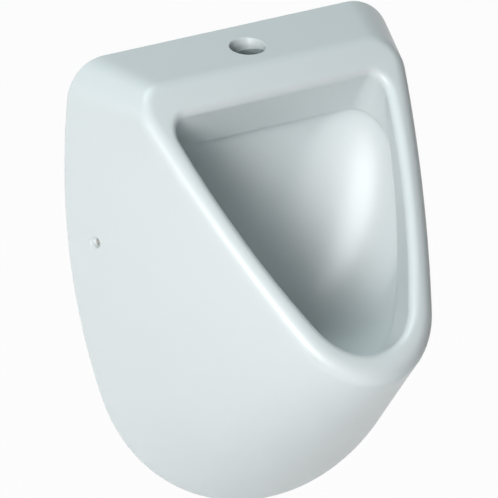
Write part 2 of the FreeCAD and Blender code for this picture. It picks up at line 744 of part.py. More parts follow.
def make_cup():
    ledge_z = BOTTLE_END_Z - GASKET
    inner_r = BOTTLE_R - BOTTLE_WALL
    skirt_r = BOTTLE_R + THREAD_CLEARANCE
    profile = [(0, CUP_BASE_Z), (19, CUP_BASE_Z), (BOTTLE_R, CUP_BASE_Z + 8),
               (CUP_SKIRT_R, ledge_z - 3), (CUP_SKIRT_R, CUP_SKIRT_TOP_Z),
               (skirt_r, CUP_SKIRT_TOP_Z), (skirt_r, ledge_z), (inner_r, ledge_z),
               (inner_r, CUP_BASE_Z + 9), (17, CUP_BASE_Z + 3), (0, CUP_BASE_Z + 3)]
    return turned(profile, SUMP_Y)


def make_cup_seal():
    base = Vec(0, SUMP_Y, BOTTLE_END_Z - GASKET)
    return tube(BOTTLE_R, BOTTLE_R - BOTTLE_WALL, base, UP, GASKET)


def make_outlet_pipe():
    start = Vec(0, SPIGOT_END_Y - 12, OUTLET_Z)
    pipe = tube(OUTLET_R, OUTLET_R - OUTLET_WALL, start, BACKWARD, OUTLET_BEHIND_WALL - start.y)
    stop = tube(OUTLET_STOP_R, OUTLET_R - OUTLET_WALL, Vec(0, COLLAR_SLEEVE, OUTLET_Z), BACKWARD, OUTLET_STOP)
    return pipe.fuse(stop).removeSplitter()


def make_outlet_seal():
    base = Vec(0, SPIGOT_END_Y, OUTLET_Z)
    return tube(SPIGOT_R, OUTLET_R, base, BACKWARD, GASKET)


def make_outlet_nut():
    base = Vec(0, SPIGOT_END_Y - 6, OUTLET_Z)
    length = 6 + GASKET + 2
    nut = ribbed_nut(SPIGOT_R + 3.5, base, BACKWARD, length, 12)
    nut = nut.cut(cylinder(SPIGOT_R, base, BACKWARD, length - 2))
    return nut.cut(cylinder(OUTLET_R, base, BACKWARD, length)).removeSplitter()


def make_wall_collar():
    base = Vec(0, -COLLAR_FLANGE, OUTLET_Z)
    flange = tube(OUTLET_R + 13, OUTLET_R, base, BACKWARD, COLLAR_FLANGE)
    sleeve = tube(OUTLET_R + 5, OUTLET_R, Vec(0, 0, OUTLET_Z), BACKWARD, COLLAR_SLEEVE)
    return flange.fuse(sleeve).removeSplitter()


def export(name, pieces):
    pieces = pieces if isinstance(pieces, list) else [pieces]
    shape = pieces[0] if len(pieces) == 1 else Part.makeCompound(pieces)
    shape = shape.translated(Vec(0, 0, -FIXING_Z))
    shape.exportStep("parts/" + name + ".step")


def main():
    os.makedirs("parts", exist_ok=True)
    face_x = flank_x()
    export("ceramic_body", make_ceramic())
    export("inlet_seal", make_inlet_seal())
    export("wall_bracket_left", make_bracket(-1))
    export("wall_bracket_right", make_bracket(1))
    export("bracket_inserts", make_bracket_inserts())
    export("side_bushes", make_side_bushes(face_x))
    export("side_screws", make_side_screws(face_x))
    export("wall_studs", make_wall_studs())
    export("stud_washers", make_stud_washers())
    export("stud_nuts", make_stud_nuts())
    export("waste_strainer", make_strainer())
    export("waste_flange", make_waste_flange())
    export("waste_gasket_upper", make_upper_gasket())
    export("waste_gasket_lower", make_lower_gasket())
    export("waste_backnut", make_backnut())
    export("trap_union_nut", make_union_nut())
    export("trap_union_seal", make_union_seal())
    export("trap_body", make_trap_body())
    export("trap_dip_tube", make_dip_tube())
    export("trap_cup", make_cup())
    export("trap_cup_seal", make_cup_seal())
    export("trap_outlet_nut", make_outlet_nut())
    export("trap_outlet_seal", make_outlet_seal())
    export("outlet_pipe", make_outlet_pipe())
    export("wall_collar", make_wall_collar())


main()
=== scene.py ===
"""Wall hung urinal in glazed china, dressed for rendering over its CAD frame."""

import math

import bmesh
import bpy
import numpy as np
from mathutils import Matrix, Vector


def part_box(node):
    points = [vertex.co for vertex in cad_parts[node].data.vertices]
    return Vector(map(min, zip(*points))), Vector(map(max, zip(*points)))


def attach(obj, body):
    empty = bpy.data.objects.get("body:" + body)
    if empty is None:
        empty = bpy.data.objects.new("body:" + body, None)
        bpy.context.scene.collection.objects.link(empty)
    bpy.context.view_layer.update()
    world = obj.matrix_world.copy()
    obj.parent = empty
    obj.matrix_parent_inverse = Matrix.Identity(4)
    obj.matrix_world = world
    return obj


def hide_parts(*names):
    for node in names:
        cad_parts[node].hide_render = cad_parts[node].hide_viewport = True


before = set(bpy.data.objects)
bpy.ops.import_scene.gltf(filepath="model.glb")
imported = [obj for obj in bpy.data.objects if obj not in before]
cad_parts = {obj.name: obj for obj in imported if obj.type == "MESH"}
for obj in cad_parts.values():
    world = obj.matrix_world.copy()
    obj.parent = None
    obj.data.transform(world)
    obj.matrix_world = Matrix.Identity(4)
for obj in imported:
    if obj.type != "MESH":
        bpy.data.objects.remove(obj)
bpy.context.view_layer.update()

bl_info = {
    "name": "Wall Hung Urinal",
    "version": (1, 0, 0),
    "blender": (4, 5, 0),
    "location": "View3D > Sidebar > Urinal",
    "description": "Builds the glazed body, the waste, the trap and the fixings of a wall hung urinal",
    "category": "Add Mesh",
}

MM = 0.001
# The row's origin is the centre of the wall fixings; the china is drawn from its lowest point.
FIXING_HEIGHT = -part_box("ceramic_body")[0][2] / MM
URINAL = "urinal"
STRAINER = "strainer"


# ---------------------------------------------------------------- settings

class ChinaSettings(bpy.types.PropertyGroup):
    """Main sizes of the china, in millimetres, and the colours of its glaze."""

    height: bpy.props.FloatProperty(
        name="Height", description="Height against the wall", default=500.0)
    top_depth: bpy.props.FloatProperty(
        name="Top depth", description="Depth of the flat top", default=67.0)
    top_fall: bpy.props.FloatProperty(
        name="Top fall", description="Forward fall of the top", default=math.radians(9.5),
        subtype="ANGLE")
    rim_tilt: bpy.props.FloatProperty(
        name="Rim tilt", description="Lean of the rim away from the wall",
        default=math.radians(33.8), subtype="ANGLE")
    lip_round: bpy.props.FloatProperty(
        name="Lip rounding", description="Radius of the inner lip", default=9.0)
    edge_round: bpy.props.FloatProperty(
        name="Edge rounding", description="Softness of the crisp edge behind the lip", default=1.6)
    wall: bpy.props.FloatProperty(
        name="Wall", description="Thickness of the outer wall", default=12.0)
    bowl_wall: bpy.props.FloatProperty(
        name="Bowl wall", description="Thickness of the bowl's wall", default=10.0)
    glaze: bpy.props.FloatVectorProperty(
        name="Glaze", description="Colour of the glaze", default=(0.63, 0.668, 0.674),
        subtype="COLOR", size=3)
    biscuit: bpy.props.FloatVectorProperty(
        name="Biscuit", description="Colour of the unglazed back edge", default=(0.72, 0.68, 0.61),
        subtype="COLOR", size=3)


class FittingSettings(bpy.types.PropertyGroup):
    """Sizes of the small parts, in millimetres."""

    thread_pitch: bpy.props.FloatProperty(
        name="Thread pitch", description="Pitch of the wall studs", default=1.25)
    strainer_hole: bpy.props.FloatProperty(
        name="Strainer hole", description="Radius of a hole in the strainer", default=2.1)


class StageSettings(bpy.types.PropertyGroup):
    """Where the camera stands, and the colour of the floor."""

    azimuth: bpy.props.FloatProperty(
        name="Azimuth", description="Camera's turn to the left", default=math.radians(27.0),
        subtype="ANGLE")
    elevation: bpy.props.FloatProperty(
        name="Elevation", description="Camera's height above level", default=math.radians(15.1),
        subtype="ANGLE")
    roll: bpy.props.FloatProperty(
        name="Roll", description="Turn of the picture", default=math.radians(6.0), subtype="ANGLE")
    distance: bpy.props.FloatProperty(
        name="Distance", description="Camera to the object", default=5.7, unit="LENGTH")
    lens: bpy.props.FloatProperty(
        name="Lens", description="Focal length in millimetres", default=411.9)
    backdrop: bpy.props.FloatVectorProperty(
        name="Backdrop", description="Colour of the floor", default=(0.86, 0.87, 0.87),
        subtype="COLOR", size=3)


# ---------------------------------------------------------------- nodes

class Socket:
    """Wraps a node's output, so that node maths reads as plain expressions."""

    def __init__(self, maker, socket):
        self.maker, self.socket = maker, socket

    def _math(self, operation, *values):
        return self.maker.add("ShaderNodeMath", {"operation": operation}, dict(enumerate(values)))

    def __add__(self, other):
        return self._math("ADD", self, other)

    def __radd__(self, other):
        return self._math("ADD", other, self)

    def __sub__(self, other):
        return self._math("SUBTRACT", self, other)

    def __rsub__(self, other):
        return self._math("SUBTRACT", other, self)

    def __mul__(self, other):
        return self._math("MULTIPLY", self, other)

    def __rmul__(self, other):
        return self._math("MULTIPLY", other, self)

    def __truediv__(self, other):
        return self._math("DIVIDE", self, other)

    def of(self, operation, *values):
        """Any other maths on this value, such as SINE or ARCTAN2."""
        return self._math(operation, self, *values)

    def step(self, low, high):
        """0 below low, 1 above high, smooth between."""
        return self.maker.add(
            "ShaderNodeMapRange", {"interpolation_type": "SMOOTHSTEP"},
            {"Value": self, "From Min": low, "From Max": high, "To Min": 0.0, "To Max": 1.0})


class NodeMaker:
    """Adds nodes to a tree; settings are the node's own options, values go to its sockets."""

    def __init__(self, tree):
        self.tree = tree

    def add(self, kind, settings=None, values=None, output=0):
        node = self.tree.nodes.new(kind)
        for key, value in (settings or {}).items():
            setattr(node, key, value)
        for key, value in (values or {}).items():
            self.plug(node.inputs[key], value)
        return Socket(self, node.outputs[output])

    def plug(self, target, value):
        if isinstance(value, Socket):
            self.tree.links.new(value.socket, target)
        elif target.type == "RGBA" and len(value) == 3:
            target.default_value = (*value, 1.0)
        else:
            target.default_value = value


class Paint(NodeMaker):
    """One material and the nodes that make it."""

    def __init__(self, name, **shader):
        self.material = bpy.data.materials.new(name)
        self.material.use_nodes = True
        super().__init__(self.material.node_tree)
        self.tree.nodes.clear()
        self.output = self.tree.nodes.new("ShaderNodeOutputMaterial")
        self.shader = self.tree.nodes.new("ShaderNodeBsdfPrincipled")
        self.tree.links.new(self.shader.outputs["BSDF"], self.output.inputs["Surface"])
        self.feed(**shader)

    def feed(self, **values):
        for key, value in values.items():
            self.plug(self.shader.inputs[key.replace("_", " ")], value)
        return self

    def place(self):
        return self.add("ShaderNodeTexCoord", output="Object")

    def axis(self, name):
        return self.add("ShaderNodeSeparateXYZ", values={0: self.place()}, output=name)

    def noise(self, scale, detail=2.0, rough=0.5):
        return self.add("ShaderNodeTexNoise", values={
            "Vector": self.place(), "Scale": scale, "Detail": detail, "Roughness": rough})

    def mix(self, share, first, second):
        node = self.tree.nodes.new("ShaderNodeMix")
        node.data_type = "RGBA"
        for index, value in ((0, share), (6, first), (7, second)):
            self.plug(node.inputs[index], value)
        return Socket(self, node.outputs[2])

    def bump(self, height, strength, distance):
        return self.add("ShaderNodeBump", values={
            "Height": height, "Strength": strength, "Distance": distance})


class Growth(NodeMaker):
    """A Geometry Nodes tree with named inputs, baked to a plain mesh."""

    def __init__(self, name, **inputs):
        super().__init__(bpy.data.node_groups.new(name, "GeometryNodeTree"))
        face = self.tree.interface
        face.new_socket("Geometry", in_out="INPUT", socket_type="NodeSocketGeometry")
        face.new_socket("Geometry", in_out="OUTPUT", socket_type="NodeSocketGeometry")
        self.inputs = inputs
        self.keys = {}
        for label, value in inputs.items():
            kind = "NodeSocketInt" if isinstance(value, int) else "NodeSocketFloat"
            self.keys[label] = face.new_socket(label, in_out="INPUT", socket_type=kind).identifier
        self.source = self.tree.nodes.new("NodeGroupInput")

    def given(self, label):
        return Socket(self, self.source.outputs[label])

    def vector(self, x=0.0, y=0.0, z=0.0):
        return self.add("ShaderNodeCombineXYZ", values={"X": x, "Y": y, "Z": z})

    def position(self):
        spot = self.add("GeometryNodeInputPosition")
        return [self.add("ShaderNodeSeparateXYZ", values={0: spot}, output=name) for name in "XYZ"]

    def moved(self, geometry, turn=(0.0, 0.0, 0.0), shift=(0.0, 0.0, 0.0)):
        return self.add("GeometryNodeTransform", values={
            "Geometry": geometry, "Rotation": turn, "Translation": shift})

    def copies(self, points, thing):
        return self.add("GeometryNodeInstanceOnPoints", values={"Points": points, "Instance": thing})

    def baked(self, name, shape, material, start=None):
        """Close the tree, run it on the start mesh and return a plain object."""
        whole = self.add("GeometryNodeRealizeInstances", values={"Geometry": shape})
        painted = self.add("GeometryNodeSetMaterial", values={"Geometry": whole, "Material": material})
        out = self.tree.nodes.new("NodeGroupOutput")
        self.plug(out.inputs["Geometry"], painted)
        thing = bpy.data.objects.new(name, start or bpy.data.meshes.new(name))
        bpy.context.scene.collection.objects.link(thing)
        modifier = thing.modifiers.new("growth", "NODES")
        modifier.node_group = self.tree
        for label, value in self.inputs.items():
            modifier[self.keys[label]] = value
        mesh = baked(thing)
        bpy.data.objects.remove(thing)
        return finished(name, mesh, material)


def tinted(colour, factor):
    return tuple(channel * factor for channel in colour)


def glaze_paint(settings):
    """Thick cool white glaze; bare biscuit where the body meets the wall."""
    glaze, biscuit = tuple(settings.glaze), tuple(settings.biscuit)
    paint = Paint("glazed_china", Coat_Roughness=0.32, Coat_IOR=1.45, Specular_IOR_Level=0.3)
    cloud = paint.noise(5.0, 2.0)
    tone = paint.mix(cloud.step(0.35, 0.65), tinted(glaze, 0.985), glaze)
    bare = paint.axis("Y").step(-0.0016, -0.0006)
    grain = paint.noise(900.0, 3.0)
    body = paint.mix(grain, tinted(biscuit, 0.9), biscuit)
    ripple = paint.noise(26.0, 1.0)
    paint.feed(
        Base_Color=paint.mix(bare, tone, body),
        Roughness=0.42 + bare * 0.45,
        Coat_Weight=0.5 - bare * 0.5,
        Normal=paint.bump(ripple, 0.05, 0.0015))
    return paint.material


def metal_paint(name, colour, rough, streak, direction):
    """Bare or plated metal with fine marks along one axis."""
    paint = Paint(name, Metallic=1.0)
    scale = {"X": (40, 900, 900), "Y": (900, 40, 900), "Z": (900, 900, 40)}[direction]
    stretched = paint.add("ShaderNodeMapping", values={"Vector": paint.place(), "Scale": scale})
    marks = paint.add("ShaderNodeTexNoise", values={"Vector": stretched, "Scale": 1.0, "Detail": 3.0})
    dulled = paint.noise(60.0, 3.0)
    paint.feed(
        Base_Color=paint.mix(dulled, tinted(colour, 0.86), colour),
        Roughness=rough + marks * streak,
        Normal=paint.bump(marks, 0.12, 0.0002))
    return paint.material


def zinc_paint():
    """Zinc plate with soft spangle."""
    paint = Paint("zinc_plate", Metallic=0.85)
    spangle = paint.add("ShaderNodeTexVoronoi", values={"Vector": paint.place(), "Scale": 320.0})
    paint.feed(
        Base_Color=paint.mix(spangle, (0.40, 0.42, 0.43), (0.60, 0.62, 0.62)),
        Roughness=0.34 + spangle * 0.25)
    return paint.material


def moulded_paint(name, colour, rough=0.4):
    """Moulded plastic with a faint grain."""
    paint = Paint(name, Specular_IOR_Level=0.45)
    flow, grain = paint.noise(30.0, 2.0), paint.noise(2600.0, 2.0)
    paint.feed(
        Base_Color=paint.mix(flow, tinted(colour, 0.94), colour),
        Roughness=rough + grain * 0.1,
        Normal=paint.bump(grain, 0.15, 0.0001))
    return paint.material


def rubber_paint(name, colour):
    """Soft rubber with a dusty bloom."""
    paint = Paint(name, Specular_IOR_Level=0.3)
    bloom, grain = paint.noise(90.0, 4.0), paint.noise(3000.0, 2.0)
    paint.feed(
        Base_Color=paint.mix(bloom.step(0.4, 0.75), colour, tinted(colour, 1.35)),
        Roughness=0.62 + bloom * 0.2,
        Normal=paint.bump(grain, 0.2, 0.0001))
    return paint.material


# ---------------------------------------------------------------- outlines of the china

class Outline:
    """Tangent-arc outline seen from the front; every outline has the same number of columns."""

    TOP, CORNER, SIDE, BOTTOM = 22, 16, 40, 34

    def __init__(self, half_width, corner_r, side_r, bottom_r, top, bottom):
        self.sizes = (half_width, corner_r, side_r, bottom_r, top, bottom)

    def rows(self, inset=0.0):
        """Arrays x, z, normal x, normal z, clockwise from the middle of the top."""
        half_width, corner_r, side_r, bottom_r, top, bottom = self.sizes
        half_width, top, bottom = half_width - inset, top - inset, bottom + inset
        corner_r, side_r, bottom_r = corner_r - inset, side_r - inset, bottom_r - inset
        corner = np.array((half_width - corner_r, top - corner_r))
        base = np.array((0.0, bottom + bottom_r))
        span = np.hypot(*(corner - base))
        to_corner, to_base = side_r - corner_r, side_r - bottom_r
        along = (to_base ** 2 - to_corner ** 2 + span ** 2) / (2 * span)
        across = math.sqrt(to_base ** 2 - along ** 2)
        unit = (corner - base) / span
        side = base + along * unit + across * np.array((-unit[1], unit[0]))
        upper = math.atan2(*(corner - side)[::-1])
        lower = math.atan2(*(base - side)[::-1])
        flat = corner[0] * np.arange(self.TOP) / self.TOP
        stretches = [np.stack([flat, np.full(self.TOP, top), 0 * flat, 0 * flat + 1], 1)]
        for centre, radius, start, end, count in (
                (corner, corner_r, math.pi / 2, upper, self.CORNER),
                (side, side_r, upper, lower, self.SIDE),
                (base, bottom_r, lower, -math.pi / 2, self.BOTTOM)):
            angle = start + (end - start) * np.arange(count) / count
            cos, sin = np.cos(angle), np.sin(angle)
            stretches.append(np.stack(
                [centre[0] + radius * cos, centre[1] + radius * sin, cos, sin], 1))
        half = np.vstack(stretches + [np.array([[0.0, bottom, 0.0, -1.0]])])
        mirrored = half[-2:0:-1] * (-1, 1, -1, 1)
        return np.vstack([half, mirrored])


def lifted(first, second, share):
    return first + (second - first) * share


def smooth(first, second, share):
    share = np.clip(share, 0.0, 1.0)
    return first + (second - first) * share * share * (3 - 2 * share)


def unit_rows(vectors):
    return vectors / np.linalg.norm(vectors, axis=1)[:, None]


class ChinaForm:
    """Rings of points, in millimetres, that make up the glazed body."""

    WALL_OUTLINE = Outline(187.0, 46.5, 724.0, 189.0, 500.0, 0.0)
    EDGE_TOP, EDGE_BOTTOM = (-50.0, 401.5), (-214.0, 189.0)
    EDGE_OUTLINE = Outline(134.5, 29.0, 700.0, 73.0, 401.5, 189.0)
    BOWL_OUTLINE = Outline(137.0, 88.0, 700.0, 76.0, 405.0, 187.0)
    SUMP, SUMP_R = np.array((0.0, -58.0, 174.0)), 34.0
    ROUND_TOP, ROUND_SIDE = 20.0, 17.0

    def __init__(self, settings):
        self.settings = settings
        tilt = settings.rim_tilt
        self.normal = np.array((0.0, -math.cos(tilt), math.sin(tilt)))
        self.up = np.array((0.0, math.sin(tilt), math.cos(tilt)))
        top = settings.height - settings.top_depth * math.tan(settings.top_fall)
        self.rim_outline = Outline(154.0, 33.5, 1300.0, 86.5, top, 184.0)
        self.mouth_outline = Outline(129.0, 24.5, 760.0, 69.5, top - 34.0, 203.0)
        rise = self.EDGE_TOP[1] - self.EDGE_BOTTOM[1]
        run = self.EDGE_TOP[0] - self.EDGE_BOTTOM[0]
        self.edge_up = np.array((0.0, run, rise)) / math.hypot(run, rise)
        self.edge_back = np.array((0.0, rise, -run)) / math.hypot(run, rise)

    def on_rim(self, rows):
        below_top = self.settings.height - rows[:, 1]
        depth = self.settings.top_depth + below_top * math.tan(self.settings.rim_tilt)
        return np.stack([rows[:, 0], -depth, rows[:, 1]], 1)

    def on_wall(self, inset=0.0, y=0.0):
        rows = self.WALL_OUTLINE.rows(inset)
        return np.stack([rows[:, 0], 0 * rows[:, 0] + y, rows[:, 1]], 1)

    def on_edge(self, inset=0.0, outline=None):
        rows = (outline or self.EDGE_OUTLINE).rows(inset)
        share = (self.EDGE_TOP[1] - rows[:, 1]) / (self.EDGE_TOP[1] - self.EDGE_BOTTOM[1])
        y = self.EDGE_TOP[0] + (self.EDGE_BOTTOM[0] - self.EDGE_TOP[0]) * share
        return np.stack([rows[:, 0], y, rows[:, 1]], 1)

    def outward(self, rows, up):
        across = rows[:, 2:3] * np.array((1.0, 0.0, 0.0))
        return unit_rows(across + rows[:, 3:4] * up)

    def rim_edge(self, shares):
        """Rings of the rim's rounded outer edge, tangent to the flank at share 0."""
        rows = self.rim_outline.rows()
        out, face = self.outward(rows, self.up), self.on_rim(rows)
        radius = (self.ROUND_SIDE + (self.ROUND_TOP - self.ROUND_SIDE) * np.clip(rows[:, 3], 0, 1))[:, None]
        centre = face - out * radius - self.normal * radius
        back, start = self.on_wall(), np.zeros(len(rows))
        for _ in range(6):
            point = centre + radius * (out * np.cos(start)[:, None] + self.normal * np.sin(start)[:, None])
            flank = point - back
            start = np.maximum(0.0, np.arctan2(-(flank * out).sum(1), flank @ self.normal))
        rings = []
        for share in shares:
            angle = (start + (math.pi / 2 - start) * share)[:, None]
            rings.append(centre + radius * (out * np.cos(angle) + self.normal * np.sin(angle)))
        return rings

    def lip(self, degrees, wall=0.0):
        rows = self.mouth_outline.rows()
        out, radius = self.outward(rows, self.up), self.settings.lip_round
        centre = self.on_rim(rows) - self.normal * radius
        angle = math.radians(degrees)
        point = centre + self.normal * (radius * math.sin(angle)) - out * (radius * math.cos(angle))
        return point + out * wall

    def bowl_controls(self):
        rows = self.BOWL_OUTLINE.rows()
        start = self.on_edge()
        side, height = rows[:, 2], rows[:, 3]
        level = (rows[:, 1] - self.EDGE_BOTTOM[1]) / (self.EDGE_TOP[1] - self.EDGE_BOTTOM[1])
        level = np.clip(level, 0, 1)
        spread = (0.8 * abs(side) + 0.55 * np.clip(height, 0, 1) + 0.05 * np.clip(-height, 0, 1))[:, None]
        leave = unit_rows(self.outward(rows, self.edge_up) * spread + self.edge_back * (1 - 0.4 * spread))
        angle = np.arctan2(rows[:, 0], rows[:, 1] - (self.EDGE_TOP[1] + self.EDGE_BOTTOM[1]) / 2)
        radial = np.stack([np.sin(angle), np.cos(angle), 0 * angle], 1)
        end = self.SUMP + radial * self.SUMP_R
        front = ((1 - np.cos(angle)) / 2)[:, None]
        reach = smooth(70.0, 62.0, front)
        arrive = radial * (reach * smooth(0.1, 1.0, front * 1.6))
        arrive = arrive + np.array((0.0, 0.0, 1.0)) * (reach * smooth(1.0, 0.12, front * 1.15))
        rounder = self.on_edge(outline=self.BOWL_OUTLINE)
        return start, rounder + leave * (28.0 + 20.0 * level)[:, None], end + arrive, end

    def bowl(self, share):
        a, b, c, d = self.bowl_controls()
        rest = 1 - share
        return a * rest ** 3 + b * (3 * rest ** 2 * share) + c * (3 * rest * share ** 2) + d * share ** 3

    def bowl_outside(self, share):
        """The bowl's hidden face, one wall's thickness away from the inside."""
        ring = self.bowl(share)
        around = np.roll(ring, -1, 0) - np.roll(ring, 1, 0)
        normal = unit_rows(np.cross(around, self.bowl(share + 0.01) - ring))
        away = ring - ring.mean(0)
        if (normal * away).sum() < 0:
            normal = -normal
        return ring + normal * self.settings.bowl_wall

    def shown_rings(self):
        """From the wall over the flank, rim, lip and apron, and down the bowl to the sump."""
        softness = 2.5
        rings = []
        for degrees in (90, 60, 30, 0):
            angle = math.radians(degrees)
            rings.append(self.on_wall(softness * (1 - math.cos(angle)), -softness * (1 - math.sin(angle))))
        edge = self.rim_edge([i / 10 for i in range(11)])
        rings += [lifted(rings[3], edge[0], i / 22) for i in range(1, 22)]
        rings += edge
        lip = [self.lip(degrees) for degrees in (90, 78, 66, 54, 42, 30, 18, 8, 0)]
        rings += [lifted(edge[-1], lip[0], i / 4) for i in (1, 2, 3)] + lip
        crisp, near = self.on_edge(), self.settings.edge_round
        before = lifted(crisp, lip[-1], near / 60.0)
        after = self.bowl(near / 110.0)
        rings += [lifted(lip[-1], before, i / 12) for i in range(1, 12)]
        for share in (0.0, 0.25, 0.5, 0.75, 1.0):
            rings.append(lifted(lifted(before, crisp, share), lifted(crisp, after, share), share))
        first = near / 110.0
        rings += [self.bowl(first + (1 - first) * (i / 46)) for i in range(1, 47)]
        floor = rings[-1]
        rings += [lifted(floor, self.SUMP, share) for share in (0.2, 0.5, 0.8)]
        return rings


# ---------------------------------------------------------------- mesh helpers

def to_row(points):
    """Millimetres above the china's lowest point, to metres in the row frame."""
    points = np.asarray(points, float).copy()
    points[:, 2] -= FIXING_HEIGHT
    return points * MM


def ring_mesh(name, rings, material=None):
    """A closed body: rings joined side to side, with a flat cap on the first and the last."""
    count = len(rings[0])
    points = to_row(np.vstack(rings))
    faces = []
    for level in range(len(rings) - 1):
        here, there = level * count, (level + 1) * count
        for i in range(count):
            j = (i + 1) % count
            faces.append((here + i, here + j, there + j, there + i))
    last = (len(rings) - 1) * count
    faces += [tuple(range(count))[::-1], tuple(range(last, last + count))]
    mesh = bpy.data.meshes.new(name)
    mesh.from_pydata([tuple(p) for p in points], [], faces)
    return finished(name, mesh, material)


def finished(name, mesh, material=None, angle=32.0):
    """Link a mesh as an object with outward faces, smooth where its edges are shallow."""
    work = bmesh.new()
    work.from_mesh(mesh)
    bmesh.ops.remove_doubles(work, verts=work.verts, dist=1e-7)
    bmesh.ops.recalc_face_normals(work, faces=work.faces)
    work.to_mesh(mesh)
    work.free()
    mesh.polygons.foreach_set("use_smooth", [True] * len(mesh.polygons))
    mesh.set_sharp_from_angle(angle=math.radians(angle))
    thing = bpy.data.objects.new(name, mesh)
    bpy.context.scene.collection.objects.link(thing)
    if material:
        mesh.materials.clear()
        mesh.materials.append(material)
    return thing


def baked(thing):
    """The evaluated mesh of an object, with its modifiers applied."""
    graph = bpy.context.evaluated_depsgraph_get()
    return bpy.data.meshes.new_from_object(thing.evaluated_get(graph))


def combined(thing, others, operation):
    """Boolean the others into the thing, one after another, and drop them."""
    for other in others:
        modifier = thing.modifiers.new("cut", "BOOLEAN")
        modifier.operation, modifier.solver, modifier.object = operation, "EXACT", other
        mesh = baked(thing)
        thing.modifiers.clear()
        old, thing.data = thing.data, mesh
        bpy.data.meshes.remove(old)
        bpy.data.objects.remove(other)
    return thing


def revolved(name, profile, centre, axis="Z", segments=96):
    """A closed body turned from (radius, height) corners; the axis points out of centre."""
    angles = np.arange(segments) * 2 * math.pi / segments
    rings = []
    for radius, height in profile:
        a, b, c = radius * np.cos(angles), radius * np.sin(angles), height + 0 * angles
        columns = {"Z": (a, b, c), "X": (c, a, b), "Y": (a, c, b)}[axis]
        rings.append(np.stack(columns, 1) + np.array(centre))
    return ring_mesh(name, rings)


def block(name, low, high):
    mesh = bpy.data.meshes.new(name)
    work = bmesh.new()
    bmesh.ops.create_cube(work, size=1.0)
    work.to_mesh(mesh)
    work.free()
    low, high = to_row([low])[0], to_row([high])[0]
    mesh.transform(Matrix.Translation(Vector((low + high) / 2)) @ Matrix.Diagonal((*(high - low), 1.0)))
    return finished(name, mesh)


# ---------------------------------------------------------------- the glazed body

FLUSH_HOLES = 9
FLUSH_SPAN = 190.0
FLUSH_Y = -41.0
INLET_Y, INLET_R = -45.7, 18.4
SIDE_HOLE_Y, SIDE_HOLE_R = -31.7, 5.5
WASTE_HOLE_R = 22.5
INLET_MOUTH_ROUND, SIDE_MOUTH_ROUND = 0.7, 1.2
INLET_CUT_DEPTH, SIDE_CUT_DEPTH = 40.0, 26.0
RIM_SOLID_DEPTH = 30.0
CHANNEL_FLOOR = 11.0
WIDE = 400.0


def hollow_mesh(form, name, depth, back_y):
    wall = form.settings.wall
    back = form.on_wall(wall)
    rows = form.rim_outline.rows(wall)
    front = form.on_rim(rows) - form.normal * depth
    start = back + (back - front) * (back_y / -front[:, 1])[:, None]
    return ring_mesh(name, [start, front])


def lining_mesh(form):
    """The bowl and its apron from behind: what the service space goes round."""
    first = form.on_edge(4.0 - form.settings.bowl_wall) - form.edge_back * 6
    rings = [first] + [form.bowl_outside(i / 18) for i in range(2, 18)]
    angle = np.arctan2(*(form.EDGE_OUTLINE.rows()[:, :2] - (0.0, 295.25)).T)
    radius = form.SUMP_R + form.settings.bowl_wall
    ring = np.stack([radius * np.sin(angle), radius * np.cos(angle) + form.SUMP[1], 0 * angle + 160.0], 1)
    bowl = ring_mesh("bowl_lining", rings + [ring])
    behind = form.on_edge(3.0 - form.settings.bowl_wall)
    apron = ring_mesh("apron_lining", [form.lip(0, form.settings.bowl_wall), behind])
    return combined(bowl, [apron], "UNION")


def flared_hole(name, centre, radius, direction, length, flare, surface):
    """A cutter for a drilled hole whose mouth is softened; surface gives the skin's slope there."""
    direction = Vector(direction)
    across = direction.orthogonal().normalized()
    over = direction.cross(across)
    angles = np.arange(64) * 2 * math.pi / 64
    profile = [(0.0, -length), (radius, -length), (radius, -flare)]
    profile += [(radius + flare * (1 - math.cos(t)), -flare + flare * math.sin(t))
                for t in (0.35, 0.7, 1.05, 1.35)]
    profile += [(radius + flare, flare * 4), (0.0, flare * 4)]
    rings = []
    for reach, height in profile[1:-1]:
        ring = [Vector(centre) + (across * math.cos(a) + over * math.sin(a)) * reach for a in angles]
        lean = 1.0 if height > -length else 0.0
        rings.append(np.array([p + direction * (height + lean * surface(p)) for p in ring]))
    return ring_mesh(name, rings)


